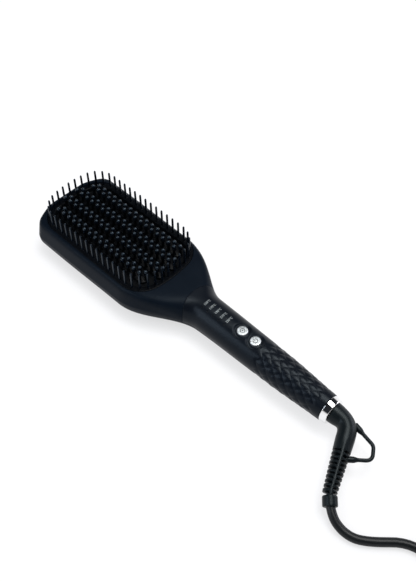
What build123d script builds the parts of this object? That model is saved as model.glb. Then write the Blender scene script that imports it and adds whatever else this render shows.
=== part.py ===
"""Heated paddle brush with a swivelling mains cord, as separate pieces.

Millimetres.  +X runs along the brush from the head to the cord, +Z points out of the
bristle side, and the brush lies on its back with the floor at Z = 0 and the origin under
the middle of its length.
"""
from build123d import *
from math import asin, atan2, cos, hypot, pi, radians, sin, tan
import os

os.makedirs("parts", exist_ok=True)

# ---------------------------------------------------------------- driving dimensions
head_length = 101.0         # tip to where the head starts to narrow
neck_length = 58.0
handle_length = 108.5       # neck's end to the chrome ring
nose_length = 36.0          # tip to where the head's sides start to close in
head_end_radius = 76.0      # plan arc of the tip
head_corner_radius = 9.0    # plan arc from the tip to a side
head_width = 75.4
head_width_at_neck = 73.8
neck_width = 27.8
grip_width = 24.7
tail_width = 19.9
body_height = 30.0          # floor to the flat round the bristles
head_waist = 16.6           # height of the head's widest level
foot_cut = 0.4              # taken off the underside to give it a flat to rest on
handle_low = 4.0            # underside of the handle where the neck ends
tail_low = 5.9
handle_drop = 1.0           # body's top down to the top of the handle where the neck ends
tail_drop = 4.35            # and to its top at the ring
wall = 2.2
parting_height = 13.0
seam_apex = 12.6            # neck seam's foremost point, beyond the neck's middle line
seam_radius = 27.0

pad_margin = 4.6            # head tip to the pad's edge
pad_side_margin = 4.7       # from the narrower end of the head
pad_overrun = 22.6          # pad's end beyond the start of the neck
pad_end_radius = 90.0
pad_corner_radius = 20.0
fit_gap = 0.15              # between moulded pieces that drop into one another

bristle_inset = 2.8         # pad edge to the outer bristles
bristle_pitch = 5.9
bristle_radius = 0.8
bristle_reach = 15.1        # tips above the bristle frame
bristle_seat = 3.0          # depth of a bristle's hole

frame_sink = 0.6            # body's top down to the bristle frame's top
frame_depth = 4.2
frame_ring = 5.6            # width of the bristle frame's ring
plate_thickness = 3.0
plate_recess = 2.8          # frame's top down to the heated plate
carrier_drop = 6.4          # carrier's depth under the frame
carrier_ledge = 4.5

comb_pitch = 11.5           # across the brush
comb_stagger = 3.3          # between the two rows of one comb
comb_rail_width = 5.8
comb_rail_height = 2.0
tooth_pitch = 6.0
tooth_radius = 1.05
tooth_tip_radius = 0.8
tooth_cap_radius = 1.3
tooth_reach = 10.4          # teeth above the heated plate
cap_crown = 1.2             # cap's top above its tooth
cap_length = 4.6
inner_comb_margin = 10.0    # pad's end to a comb's end
outer_comb_margin = 16.0

heater_margin = 21.0        # pad's end to a heater's end
heater_width = 14.0
heater_thickness = 2.4
heater_gap = 7.0
electrode_thickness = 0.5
electrode_width = 4.0
electrode_offset = 4.4      # middle of a strip from the middle line
lead_offset = 5.4
lead_radius = 0.7
insulation_thickness = 0.6
clamp_thickness = 1.4
clamp_margin = 11.5         # pad's end to the clamp plate's end
clamp_width = 20.0
clamp_screw_margin = 4.8    # clamp plate's end to its screw
case_boss_radius = 3.4
case_screw_drop = 9.0       # body's top down to the tip of a case screw's hole
case_screw_ahead = 28.0     # front case screws beyond the start of the neck
case_screw_spread = 13.0
screw_seat_depth = 5.0      # body's underside to the underside of a case screw's head
carrier_post_radius = 2.5
carrier_post_margin = 13.5  # pad's end to a carrier post
front_post_inset = 18.2     # pad's side to a post near the tip
rear_post_inset = 16.2
board_post_radius = 1.8
board_post_spread = 6.0
screw_radius = 1.25
screw_head_radius = 2.4
screw_head_height = 1.6

board_width = 17.0
board_thickness = 1.6
board_drop = 11.2           # body's top down to the board
board_lead_in = 7.0         # board's start ahead of the neck's end
lead_run = 18.8             # board's end to the contact holder
first_indicator = -2.2      # from the neck's end
indicator_pitch = 5.3
indicator_count = 5
indicator_offset = -5.2     # to the side of the figures
guide_radius = 0.8
led_size = (1.6, 1.2, 0.8)

button_radius = 3.85
button_gap = 0.2
button_flange = 1.1
button_flange_height = 0.8
button_stem_radius = 1.4
button_travel = 0.6
button_hang = 1.5           # flange below the crest of the handle's inner face
button_sink = 0.1           # button's crown below the handle's top
button_spacing = 12.0
first_button = 31.6         # from the neck's end
dish_radius = 6.6
dish_depth = 1.0
plunger_radius = 1.7
switch_size = 6.0
switch_height = 3.2
plunger_proud = 0.7

ring_width = 5.0
ring_start_radius = 9.9
ring_end_radius = 9.2
axis_drop = 14.25           # body's top down to the swivel axis
bush_radius = 7.2
bush_flange_radius = 7.6
bush_flange_length = 5.0
bush_depth = 10.0           # bush's start ahead of the ring
bush_inset = 0.5            # bush's end inside the ring's end
spindle_radius = 4.6
spindle_clearance = 0.06
spindle_bore = 1.6
collar_radius = 6.2
collar_length = 3.0
core_radius = 2.6
core_length = 14.0
slip_ring_radius = 3.8
slip_ring_width = 2.4
spring_post = 1.4           # contact spring down to its holder

flange_radius = 7.3
flange_length = 3.2
sleeve_gap = 0.3
elbow_radius = 6.3
sleeve_end_radius = 5.1
elbow_length = 17.0         # from the bend's corner to the slotted relief
elbow_bend_radius = 12.0
slot_count = 10
slot_pitch = 3.1
slot_start = 1.8
slot_width = 1.3
slot_depth = 2.0
loop_rod_radius = 1.3
socket_depth = 6.0

cord_diameter = 6.0
coil_middle_radius = 35.5
coil_columns = 4
coil_layers = 2
plug_length = 33.0
plug_width = 35.3
plug_thickness = 13.7
plug_pin_radius = 2.0
plug_pin_length = 19.0
plug_pin_spacing = 18.6

# ------------------------------------------------------------------- derived places
overall_length = head_length + neck_length + handle_length + ring_width
tip_x = -overall_length / 2
end_x = overall_length / 2
neck_start_x = tip_x + head_length
neck_end_x = neck_start_x + neck_length
ring_x = end_x - ring_width
seam_x = (neck_start_x + neck_end_x) / 2 + seam_apex
handle_high = body_height - handle_drop
tail_high = body_height - tail_drop
axis_height = body_height - axis_drop
tool_reach = 60.0           # cutting blocks reach this far past the body

pad_length = head_length + pad_overrun - pad_margin
pad_width = min(head_width, head_width_at_neck) - 2 * pad_side_margin
pad_x = tip_x + pad_margin + pad_length / 2
frame_top = body_height - frame_sink
frame_bottom = frame_top - frame_depth
plate_top = frame_top - plate_recess
plate_bottom = plate_top - plate_thickness
bristle_height = frame_top + bristle_reach
tooth_top = plate_top + tooth_reach
cap_top = tooth_top + cap_crown
heater_bottom = plate_bottom - heater_thickness
heater_length = (pad_length - heater_gap) / 2 - heater_margin
electrode_bottom = heater_bottom - electrode_thickness
electrode_end_x = pad_x + heater_gap / 2 + heater_length + 1.0
insulation_bottom = electrode_bottom - insulation_thickness
carrier_bottom = frame_bottom - carrier_drop
clamp_bottom = insulation_bottom - clamp_thickness
clamp_length = pad_length - 2 * clamp_margin
clamp_screw_offset = clamp_length / 2 - clamp_screw_margin

bush_start = ring_x - bush_depth
bush_stop = end_x - bush_inset
core_start = bush_start - sleeve_gap - collar_length - core_length
holder_start_x = core_start + 0.6
holder_top = axis_height - slip_ring_radius - spring_post - 0.6
holder_low = handle_low + wall
lead_entry_height = holder_top - 0.95   # where the mains leads enter the contact holder
board_top = body_height - board_drop
board_bottom = board_top - board_thickness
board_start = neck_end_x - board_lead_in
board_end = holder_start_x - lead_run
terminal_end_x = board_end - 5.0
indicator_start = neck_end_x + first_indicator
button_centres = [neck_end_x + first_button, neck_end_x + first_button + button_spacing]

case_screw_top = body_height - case_screw_drop
front_screw_x = neck_start_x + case_screw_ahead
case_screws_at = [(front_screw_x, case_screw_spread), (front_screw_x, -case_screw_spread)]
case_screws_at += [((board_end + holder_start_x) / 2 - 0.4, 0.0)]
front_post_x = pad_x - pad_length / 2 + carrier_post_margin
rear_post_x = pad_x + pad_length / 2 - carrier_post_margin
carrier_posts_at = [(front_post_x, side * (pad_width / 2 - front_post_inset)) for side in (1, -1)]
carrier_posts_at += [(rear_post_x, side * (pad_width / 2 - rear_post_inset)) for side in (1, -1)]
board_posts_at = [(x, side * board_post_spread)
                  for x in (board_start + 5, board_end - 4) for side in (1, -1)]

# route of the sleeve and the free cord, with places counted from the ring's end
cord_radius = cord_diameter / 2
sleeve_path = [(end_x, 0, axis_height), (end_x + 12.7, 0, axis_height),
               (end_x + 32.3, -43.2, axis_height - 5.95), (end_x + 36.7, -48.0, axis_height - 7.55)]
cord_route = [(end_x + 40.7, -52.4, 6.8), (end_x + 53.1, -54.8, 3.1),
              (end_x + 65.5, -51.0, 3.1), (end_x + 89.0, -27.5, 3.1)]
coil_centre = (end_x + 128.5, 10.0)
plug_entry = (end_x + 108.5, 61.5, plug_thickness / 2)
tail_route = [(end_x + 150.5, 48.4, 9.0), (end_x + 128.5, 61.2, 7.3)]
loop_path = [(end_x + 14.0, 0.2, axis_height - 0.55), (end_x + 36.7, -0.9, axis_height - 1.85),
             (end_x + 36.9, -13.8, axis_height - 3.05), (end_x + 22.9, -22.2, axis_height - 2.95)]
loop_corner_radius = 5.0


# ------------------------------------------------------------------------ helpers
def smooth(value, start, stop):
    """0 before start, 1 after stop, and a smooth step between them."""
    t = min(max((value - start) / (stop - start), 0.0), 1.0)
    return t * t * (3 - 2 * t)


def blend(first, second, share):
    return first + (second - first) * share


def save(name, shape):
    export_step(shape, f"parts/{name}.step")


def group(solids):
    """Separate solids that are kept in one node."""
    return Compound(children=list(solids))


def upright(radius, low, high, x=0.0, y=0.0):
    """A cylinder along Z between two heights."""
    base = Align.CENTER, Align.CENTER, Align.MIN
    return Pos(x, y, low) * Cylinder(radius, high - low, align=base)


def lengthwise(radius, start, stop, y=0.0, z=0.0):
    """A cylinder along X between two stations."""
    plane = Plane(origin=(start, y, z), z_dir=(1, 0, 0))
    base = Align.CENTER, Align.CENTER, Align.MIN
    return plane * Cylinder(radius, stop - start, align=base)


def block(x_range, y_range, z_range):
    """A box from its lowest to its highest corner."""
    size = [high - low for low, high in (x_range, y_range, z_range)]
    return Pos(x_range[0], y_range[0], z_range[0]) * Box(*size, align=(Align.MIN,) * 3)


def corner_radii(points):
    """The largest gentle arc for each corner of a route."""
    radii = []
    for before, corner, after in zip(points, points[1:], points[2:]):
        first = Vector(*corner) - Vector(*before)
        second = Vector(*after) - Vector(*corner)
        half_turn = radians(first.get_angle(second)) / 2
        radii.append(0.45 * min(first.length, second.length) / tan(half_turn))
    return radii


def tube(points, radius, radii=None):
    """A round tube along straight runs that are joined by tangent arcs."""
    line = Line(*points) if len(points) == 2 else None
    path = line or FilletPolyline(*points, radius=radii or corner_radii(points))
    start = Vector(*points[0])
    direction = Vector(*points[1]) - start
    profile = Plane(origin=start, z_dir=direction) * Circle(radius)
    return sweep(profile, path=path)


# ------------------------------------------------------------------- outer form
def head_plan(step):
    """Half width of the head at a step behind its tip: end arc, corner arc, then straight."""
    half = head_width / 2
    reach = head_end_radius - head_corner_radius
    corner_y = half - head_corner_radius
    corner_step = head_end_radius - (reach ** 2 - corner_y ** 2) ** 0.5
    if step < head_end_radius * (1 - cos(asin(corner_y / reach))):
        return (2 * head_end_radius * step - step ** 2) ** 0.5
    if step < corner_step:
        return corner_y + (head_corner_radius ** 2 - (corner_step - step) ** 2) ** 0.5
    return half


def body_form(x):
    """Half width, underside, top, widest level and squareness of the body at x."""
    along_head = smooth(x, tip_x + nose_length, neck_start_x)
    head_half = head_plan(x - tip_x + 0.3)
    head_half *= blend(head_width, head_width_at_neck, along_head) / head_width
    into_neck = smooth(x, neck_start_x, neck_end_x)
    along_grip = min(max((x - neck_end_x) / (ring_x - neck_end_x), 0.0), 1.0)
    grip_half = blend(neck_width, grip_width, min(along_grip / 0.75, 1.0)) / 2
    taper = smooth(x, blend(neck_end_x, ring_x, 0.62), ring_x + 12)
    grip_half = blend(grip_half, (tail_width - 0.9) / 2, taper)
    half = blend(head_half, grip_half, into_neck)

    front = min((x - tip_x + 0.3) / 5.0, 1.0)
    back = min((x - tip_x + 0.3) / 20.0, 1.0)
    high = head_waist + (body_height - head_waist) * (1 - (1 - front) ** 3) ** (1 / 3)
    low = blend(head_waist, -foot_cut, (1 - (1 - back) ** 2.4) ** (1 / 2.4))
    low = blend(low, handle_low, smooth(x, neck_start_x + 18, neck_end_x + 24))
    low = blend(low, tail_low, smooth(x, neck_end_x, ring_x + 6))
    high = blend(high, handle_high, into_neck)
    high = blend(high, tail_high, along_grip)
    waist = blend(head_waist, (low + high) / 2, smooth(x, neck_start_x, neck_end_x))
    round_off = smooth(x, neck_start_x + 8, neck_end_x - 6)
    return half, low, high, waist, round_off


def body_section(x, inset):
    """Closed outline across the body at x, moved inwards by inset."""
    half, low, high, waist, round_off = body_form(x)
    half, low, high = half - inset, low + inset, high - inset
    points = []
    count = 36
    for index in range(count):
        angle = -pi / 2 + 2 * pi * index / count
        upper = sin(angle) > 0
        power = blend(10.0 if upper else 2.6, 2.05, round_off)
        size = (abs(cos(angle)) ** power + abs(sin(angle)) ** power) ** (-1 / power)
        lift = size * sin(angle)
        side = size * cos(angle) * (1 - blend(0.08, 0.0, round_off) * max(lift, 0.0))
        rise = high - waist if upper else waist - low
        points.append((x, half * side, waist + rise * lift))
    outline = Spline(*points, periodic=True)
    return Face(Wire([outline.edge()]))


def body_loft(inset, start, stop):
    nose = [0.0, 0.6, 1.6, 3.2, 5.2, 7.4, 9.4, 11.8, 15.4, 21.0, nose_length]
    stations = [tip_x + step for step in nose]
    stations += [blend(tip_x + nose_length, neck_start_x, share) for share in (0.4, 0.75, 1.0)]
    stations += [blend(neck_start_x, neck_end_x, share / 6) for share in range(1, 7)]
    stations += [blend(neck_end_x, ring_x, share) for share in (0.25, 0.5, 0.7, 0.85)]
    stations = [x for x in stations if start + 0.4 < x < stop - 0.4]
    stations = [start] + stations + [stop]
    return loft([body_section(x, inset) for x in stations])


def pad_outline(grow):
    """Plan of the bristle pad, grown outwards by grow."""
    half = pad_length / 2 + grow
    end = pad_end_radius + grow
    plan = Rectangle(2 * half, pad_width + 2 * grow)
    plan &= Pos(half - end, 0) * Circle(end)
    plan &= Pos(end - half, 0) * Circle(end)
    plan = fillet(plan.vertices(), pad_corner_radius + grow)
    return Pos(pad_x, 0) * plan


def pad_slab(grow, low, high):
    return Pos(0, 0, low) * extrude(pad_outline(grow), high - low)


def pad_ring(outer, inner, low, high):
    return pad_slab(outer, low, high) - pad_slab(inner, low - 1, high + 1)


# ------------------------------------------------------------------------- shells
def make_shells():
    outer = body_loft(0.0, tip_x, ring_x)
    inner = body_loft(wall, tip_x + wall, ring_x + 1)
    across = -tool_reach, tool_reach
    below = block((tip_x - 5, end_x), across, (0, parting_height))
    above = block((tip_x - 5, end_x), across, (parting_height, tool_reach))
    seam_tool = upright(seam_radius, parting_height - 1, tool_reach, seam_x + seam_radius)
    seam_tool += block((seam_x + seam_radius, end_x), across, (parting_height - 1, tool_reach))

    cavity = inner
    for x, y in case_screws_at:
        cavity -= upright(case_boss_radius, -1, tool_reach, x, y)
    lower_cavity = cavity
    for x, y in carrier_posts_at:
        lower_cavity -= upright(carrier_post_radius, -1, tool_reach, x, y)
    for x, y in board_posts_at:
        lower_cavity -= upright(board_post_radius, -1, tool_reach, x, y)
    back = (outer & below) - lower_cavity
    for x, y in carrier_posts_at:
        back += upright(carrier_post_radius, parting_height, carrier_bottom, x, y)
    for x, y in board_posts_at:
        back += upright(board_post_radius, parting_height, board_bottom, x, y)

    top = (outer & above) - cavity
    front = top - seam_tool - pad_slab(0.0, frame_bottom - 3, tool_reach)
    cover = top & seam_tool
    for x, y in case_screws_at:
        back -= upright(screw_radius + 0.15, -1, parting_height + 1, x, y)
        back -= upright(screw_head_radius + 0.3, -1, screw_seat(x), x, y)
        front -= upright(screw_radius, parting_height - 1, case_screw_top, x, y)
        cover -= upright(screw_radius, parting_height - 1, case_screw_top, x, y)

    for x in button_centres:
        dish = Pos(x, 0, body_form(x)[2] - dish_depth) * Cone(
            dish_radius - 1.2, dish_radius + 0.4, dish_depth + 0.6,
            align=(Align.CENTER, Align.CENTER, Align.MIN))
        cover -= dish
        cover -= upright(button_radius + button_gap, board_top, tool_reach, x)
    for x in indicator_stations():
        cover -= upright(guide_radius + 0.05, board_top, tool_reach, x, indicator_offset)
    return back, front, cover


def screw_seat(x):
    """Height of the seat that a case screw's head is drawn up to."""
    return body_form(x)[1] + screw_seat_depth


def indicator_stations():
    return [indicator_start + indicator_pitch * index for index in range(indicator_count)]


# ---------------------------------------------------------------------- bristle pad
def bristle_places():
    """Even steps round the pad, starting at the middle of the tip."""
    outline = pad_outline(-bristle_inset).wire()
    count = round(outline.length / bristle_pitch)
    start = outline.param_at_point(Vector(pad_x - pad_length / 2 + bristle_inset, 0, 0))
    return [outline.position_at((start + index / count) % 1.0) for index in range(count)]


def make_frame_and_bristles():
    frame = pad_ring(-fit_gap, -frame_ring, frame_bottom, frame_top)
    bristles = []
    seat = frame_top - bristle_seat
    for place in bristle_places():
        frame -= upright(bristle_radius, seat, frame_top + 1, place.X, place.Y)
        pin = upright(bristle_radius, seat, bristle_height, place.X, place.Y)
        tip = pin.edges().group_by(Axis.Z)[-1]
        bristles.append(fillet(tip, bristle_radius * 0.45))
    return frame, bristles


def comb_rows(index):
    """Length and middle line of a comb, counted across the brush."""
    across = (index - 1.5) * comb_pitch
    margin = inner_comb_margin if index in (1, 2) else outer_comb_margin
    return across, pad_length - 2 * margin


def tooth_places(index):
    across, length = comb_rows(index)
    count = int((length - comb_rail_width) / tooth_pitch + 0.5)
    places = []
    for row, side in enumerate((-1, 1)):
        for step in range(count):
            shift = (step - (count - 1) / 2) * tooth_pitch + (row - 0.5) * tooth_pitch / 2
            places.append((pad_x + shift, across + side * comb_stagger / 2))
    return places


def make_comb(index):
    across, length = comb_rows(index)
    rail_plan = Pos(pad_x, across) * SlotOverall(length, comb_rail_width)
    bar = Pos(0, 0, plate_top) * extrude(rail_plan, comb_rail_height)
    neck = cap_top - cap_length
    for x, y in tooth_places(index):
        bar += upright(tooth_radius, plate_top + comb_rail_height, neck, x, y)
        bar += upright(tooth_tip_radius, neck, tooth_top, x, y)
    return bar


def make_caps(index):
    caps = []
    for x, y in tooth_places(index):
        cap = upright(tooth_cap_radius, cap_top - cap_length, cap_top, x, y)
        cap = fillet(cap.edges().group_by(Axis.Z)[-1], tooth_cap_radius * 0.85)
        caps.append(cap - upright(tooth_tip_radius, cap_top - cap_length - 1, tooth_top, x, y))
    return caps


# -------------------------------------------------------------------- heater stack
def make_heater_stack():
    plate = pad_slab(-frame_ring - fit_gap, plate_bottom, plate_top)
    screws_at = [(pad_x + side * clamp_screw_offset, 0) for side in (-1, 1)]
    for x, y in screws_at:
        plate -= upright(screw_radius, plate_bottom - 1, plate_bottom + 2, x, y)

    carrier = pad_ring(-1.0, -frame_ring, carrier_bottom, frame_bottom)
    carrier += pad_ring(-1.0, -frame_ring - carrier_ledge, carrier_bottom, plate_bottom)
    carrier -= block((pad_x + pad_length / 4, neck_end_x), (-lead_offset - 2, lead_offset + 2),
                     (carrier_bottom - 1, carrier_bottom + 3.2))

    heaters, electrodes = [], []
    half_gap = (heater_gap + heater_length) / 2
    for side in (-1, 1):
        centre = pad_x + side * half_gap
        x_range = centre - heater_length / 2, centre + heater_length / 2
        y_range = -heater_width / 2, heater_width / 2
        heaters.append(block(x_range, y_range, (heater_bottom, plate_bottom)))
    for side in (-1, 1):
        strip_y = side * electrode_offset
        x_range = pad_x - half_gap - heater_length / 2, electrode_end_x
        y_range = strip_y - electrode_width / 2, strip_y + electrode_width / 2
        electrodes.append(block(x_range, y_range, (electrode_bottom, heater_bottom)))

    cover_x = pad_x - clamp_length / 2 + 9, pad_x + clamp_length / 2 - 9
    insulation = block(cover_x, (-clamp_width / 2 + 1, clamp_width / 2 - 1),
                       (insulation_bottom, electrode_bottom))
    clamp = block((pad_x - clamp_length / 2, pad_x + clamp_length / 2),
                  (-clamp_width / 2, clamp_width / 2), (clamp_bottom, insulation_bottom))
    screws = []
    for x, y in screws_at:
        clamp += upright(3.6, insulation_bottom, plate_bottom, x, y)
        clamp -= upright(screw_radius + 0.1, clamp_bottom - 1, plate_bottom + 1, x, y)
        insulation -= upright(3.8, insulation_bottom - 1, electrode_bottom + 1, x, y)
        head = upright(screw_head_radius, clamp_bottom - screw_head_height, clamp_bottom, x, y)
        screws.append(head + upright(screw_radius, clamp_bottom, plate_bottom + 2, x, y))
    fuse = lengthwise(1.9, pad_x - 6, pad_x + 6, 4.0, clamp_bottom - 1.9)
    sensor = lengthwise(1.2, pad_x + 12, pad_x + 18, -4.0, clamp_bottom - 1.2)
    return {
        "heater_plate": plate,
        "plate_carrier": carrier,
        "ptc_heaters": group(heaters),
        "electrode_strips": group(electrodes),
        "insulation_sheet": insulation,
        "clamp_plate": clamp,
        "clamp_screws": group(screws),
        "thermal_fuse": fuse,
        "thermistor": sensor,
    }


# ---------------------------------------------------------------- control electronics
def make_board():
    board = block((board_start, board_end),
                  (-board_width / 2, board_width / 2), (board_bottom, board_top))
    switches, leds = [], []
    half = switch_size / 2
    for x in button_centres:
        body = block((x - half, x + half), (-half, half), (board_top, board_top + switch_height))
        bore_depth = button_travel + plunger_proud + 0.6
        top = board_top + switch_height
        switches.append(body - upright(plunger_radius + 0.1, top - bore_depth, top + 1, x))
    for x in indicator_stations():
        size = led_size
        leds.append(Pos(x, indicator_offset, board_top) * Box(
            *size, align=(Align.CENTER, Align.CENTER, Align.MIN)))
    below = board_bottom
    capacitor = block((board_start + 12, board_start + 25), (-3, 3), (below - 9.5, below))
    triac = block((board_start + 30, board_start + 40), (-5, -0.5), (below - 8.5, below))
    controller = block((board_start + 31, board_start + 37), (0.6, 6.1), (below - 1.5, below))
    terminal = block((terminal_end_x - 6, terminal_end_x), (-4.0, 4.0), (below - 6.5, below))
    return {
        "control_board": board,
        "tact_switches": group(switches),
        "indicator_leds": group(leds),
        "filter_capacitor": capacitor,
        "triac": triac,
        "microcontroller": controller,
        "mains_terminal": terminal,
    }


def make_light_guide():
    """One clear comb whose five prongs end flush in the handle's top."""
    bar_low = board_top + led_size[2] + 0.1
    bar_high = bar_low + 1.2
    stations = indicator_stations()
    guide = block((stations[0] - 1.6, stations[-1] + 1.6),
                  (indicator_offset - 1.2, indicator_offset + 1.2), (bar_low, bar_high))
    for x in stations:
        half, low, high, waist, _ = body_form(x)
        drop = 1 - (1 - (abs(indicator_offset) / half) ** 2) ** 0.5
        guide += upright(guide_radius, bar_high, high - (high - waist) * drop - 0.1,
                         x, indicator_offset)
    return guide


def make_button(x):
    crown = body_form(x)[2] - button_sink
    under = crown + button_sink - wall - button_hang
    head = upright(button_radius, under, crown, x)
    head = fillet(head.edges().group_by(Axis.Z)[-1], 0.6)
    flange_low = under - button_flange_height
    head += upright(button_radius + button_flange, flange_low, under, x)
    plunger_top = board_top + switch_height + plunger_proud
    head += upright(button_stem_radius, plunger_top, flange_low, x)
    plunger_low = board_top + switch_height - 0.6
    plunger = upright(plunger_radius, plunger_low, plunger_top, x)
    return head, plunger


# --------------------------------------------------------------------- cord swivel
def make_swivel():
    ring_profile = Plane.XZ * make_face(Polyline(
        (ring_x, bush_radius), (end_x, bush_radius), (end_x, ring_end_radius - 0.6),
        (end_x - 0.6, ring_end_radius), (ring_x + 0.5, ring_start_radius),
        (ring_x, ring_start_radius - 0.4), close=True))
    turned = revolve(ring_profile, axis=Axis.X)
    ring = Pos(0, 0, axis_height) * turned

    bush = lengthwise(bush_radius, bush_start, bush_stop, 0, axis_height)
    bush += lengthwise(bush_flange_radius, bush_start, bush_start + bush_flange_length, 0, axis_height)
    bore = spindle_radius + spindle_clearance
    bush -= lengthwise(bore, bush_start - 1, bush_stop + 1, 0, axis_height)

    collar_stop = bush_start - sleeve_gap
    collar_start = collar_stop - collar_length
    spindle = lengthwise(spindle_radius, collar_stop, end_x + sleeve_gap, 0, axis_height)
    spindle += lengthwise(collar_radius, collar_start, collar_stop, 0, axis_height)
    spindle += lengthwise(core_radius, core_start, collar_start, 0, axis_height)
    spindle -= lengthwise(spindle_bore, core_start - 1, end_x + 1, 0, axis_height)

    rings, springs = [], []
    for index, offset in enumerate((3.0, 8.4)):
        start = core_start + offset
        band = lengthwise(slip_ring_radius, start, start + slip_ring_width, 0, axis_height)
        rings.append(band - lengthwise(core_radius, start - 1, start + 5, 0, axis_height))
        low = axis_height - slip_ring_radius - 0.5
        finger = block((start + 0.4, start + slip_ring_width - 0.4), (-3.0, 3.0),
                       (low - 0.1, low + 0.4))
        post_side = -1 if index else 1
        edges = sorted((post_side * 2.2, post_side * 3.0))
        finger += block((start + 0.4, start + slip_ring_width - 0.4), edges,
                        (low - spring_post, low - 0.1))
        springs.append(finger)
    holder = block((holder_start_x, collar_start - 1.0), (-4.2, 4.2), (holder_low, holder_top))
    holder &= body_loft(wall + fit_gap, holder_start_x - 1, ring_x - 1)
    return {
        "end_ring": ring,
        "swivel_bush": bush,
        "swivel_spindle": spindle,
        "slip_rings": group(rings),
        "contact_springs": group(springs),
        "contact_holder": holder,
    }


def sleeve_axes():
    """Corners of the sleeve's middle line, with the start of its slotted relief."""
    flange, corner, collar, end = [Vector(*point) for point in sleeve_path]
    relief = corner + (collar - corner).normalized() * elbow_length
    return flange + Vector(sleeve_gap, 0, 0), corner, relief, collar, end


def make_sleeve():
    """Cord sleeve: flange, elbow, tapering relief with cross slots, and end collar."""
    start, corner, relief, collar, end = sleeve_axes()
    base = Align.CENTER, Align.CENTER, Align.MIN
    flange = lengthwise(flange_radius, start.X, start.X + flange_length, 0, axis_height)
    flange = fillet(flange.edges().group_by(Axis.X)[-1], 1.2)
    elbow = tube([tuple(start), tuple(corner), tuple(relief)], elbow_radius, [elbow_bend_radius])
    sleeve = flange + elbow
    length = (collar - relief).length
    taper = Cone(elbow_radius, sleeve_end_radius, length, align=base)
    sleeve += Plane(origin=relief, z_dir=collar - relief) * taper
    sleeve += Pos(*collar) * Sphere(sleeve_end_radius)
    last = Cylinder(sleeve_end_radius, (end - collar).length, align=base)
    sleeve += Plane(origin=collar, z_dir=end - collar) * last
    sleeve -= Plane(origin=end, z_dir=collar - end) * Cylinder(cord_radius, socket_depth, align=base)
    return cut_slots(sleeve, relief, collar)


def cut_slots(sleeve, relief, collar):
    """Cuts that leave a ladder of ribs joined along the sleeve's top and bottom."""
    length = (collar - relief).length
    plane = Plane(origin=collar, x_dir=(0, 0, 1), z_dir=relief - collar)
    for index in range(slot_count):
        station = slot_start + index * slot_pitch
        if station > length:
            break
        radius = blend(sleeve_end_radius, elbow_radius, station / length)
        for side in (-1, 1):
            offset = side * (radius - slot_depth + radius / 2)
            sleeve -= plane * Pos(0, offset, station) * Box(radius * 1.2, radius, slot_width)
    return sleeve


# --------------------------------------------------------------------------- wiring
def make_wires():
    """Heater leads to the board, and mains leads from the board to the swivel."""
    heater_leads, mains_leads = [], []
    strip_height = electrode_bottom + electrode_thickness / 2
    board_height = board_bottom + board_thickness / 2
    terminal_height = board_bottom - 3.2
    for side in (-1, 1):
        y = side * lead_offset
        heater_leads.append(tube([
            (electrode_end_x, y, strip_height), (electrode_end_x + 11, y, strip_height),
            (electrode_end_x + 30, y, strip_height - 2.2), (board_start - 8, y, board_height),
            (board_start, y, board_height)], lead_radius))
        mains_leads.append(tube([
            (terminal_end_x, side * 2.4, terminal_height),
            (terminal_end_x + 3, side * 2.4, terminal_height),
            (terminal_end_x + 10, side * 5.8, terminal_height - 1.4),
            (holder_start_x - 8, side * 5.6, terminal_height - 2.6),
            (holder_start_x - 3, side * 2.3, lead_entry_height),
            (holder_start_x, side * 2.3, lead_entry_height)], lead_radius))
    return heater_leads, mains_leads


# ---------------------------------------------------------------- cord, coil and plug
def cord_start():
    """Bottom of the sleeve's socket."""
    collar, end = [Vector(*point) for point in sleeve_path[2:]]
    return end - (end - collar).normalized() * socket_depth


def make_cord():
    points = [tuple(cord_start()), *cord_route, coil_meeting()]
    return tube(points, cord_radius)


def coil_meeting():
    """A point inside the coil's outer turn, met along its tangent."""
    last = cord_route[-1]
    outer = coil_middle_radius + (coil_columns - 1) * cord_radius
    gap = hypot(coil_centre[0] - last[0], coil_centre[1] - last[1])
    heading = atan2(coil_centre[1] - last[1], coil_centre[0] - last[0])
    spread = pi / 2 - atan2(outer, (gap ** 2 - outer ** 2) ** 0.5)
    angle = heading + pi + spread
    x = coil_centre[0] + outer * cos(angle)
    y = coil_centre[1] + outer * sin(angle)
    return x, y, cord_radius + 0.1


def make_coil():
    width, height = coil_columns * cord_diameter, coil_layers * cord_diameter
    section = Pos(coil_middle_radius, height / 2) * RectangleRounded(width, height, 2.5)
    ring = revolve(Plane.XZ * section, axis=Axis.Z)
    return Pos(coil_centre[0], coil_centre[1], 0) * ring


def make_plug():
    entry = Vector(*plug_entry)
    heading = Vector(-1, 0, 0)
    nose = entry.X + heading.X * (plug_length + 12)
    base = Align.CENTER, Align.CENTER, Align.MIN
    relief = Plane(origin=entry, z_dir=heading) * Cone(4.2, 5.6, 14, align=base)
    back, front = entry.X - 10, nose
    plan = make_face(Polyline(
        (back, entry.Y - 6.0), (back, entry.Y + 6.0), (back - 14, entry.Y + plug_width / 2),
        (front, entry.Y + plug_width / 2), (front, entry.Y - plug_width / 2),
        (back - 14, entry.Y - plug_width / 2), close=True))
    body = extrude(plan, plug_thickness)
    body = fillet(body.edges().filter_by(Axis.Z), 4.0)
    body = fillet(body.faces().sort_by(Axis.Z)[-1].edges(), 1.5)
    body = fillet(body.faces().sort_by(Axis.Z)[0].edges(), 1.5)
    body += relief
    body -= Plane(origin=entry, z_dir=heading) * Cylinder(cord_radius, socket_depth, align=base)
    pins = []
    for side in (-1, 1):
        y = entry.Y + side * plug_pin_spacing / 2
        root = front + 5.0
        body -= lengthwise(plug_pin_radius, front - 1, root, y, entry.Z)
        pin = lengthwise(plug_pin_radius, front - plug_pin_length, root, y, entry.Z)
        pins.append(fillet(pin.edges().group_by(Axis.X)[0], 1.2))
    return body, pins


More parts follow.
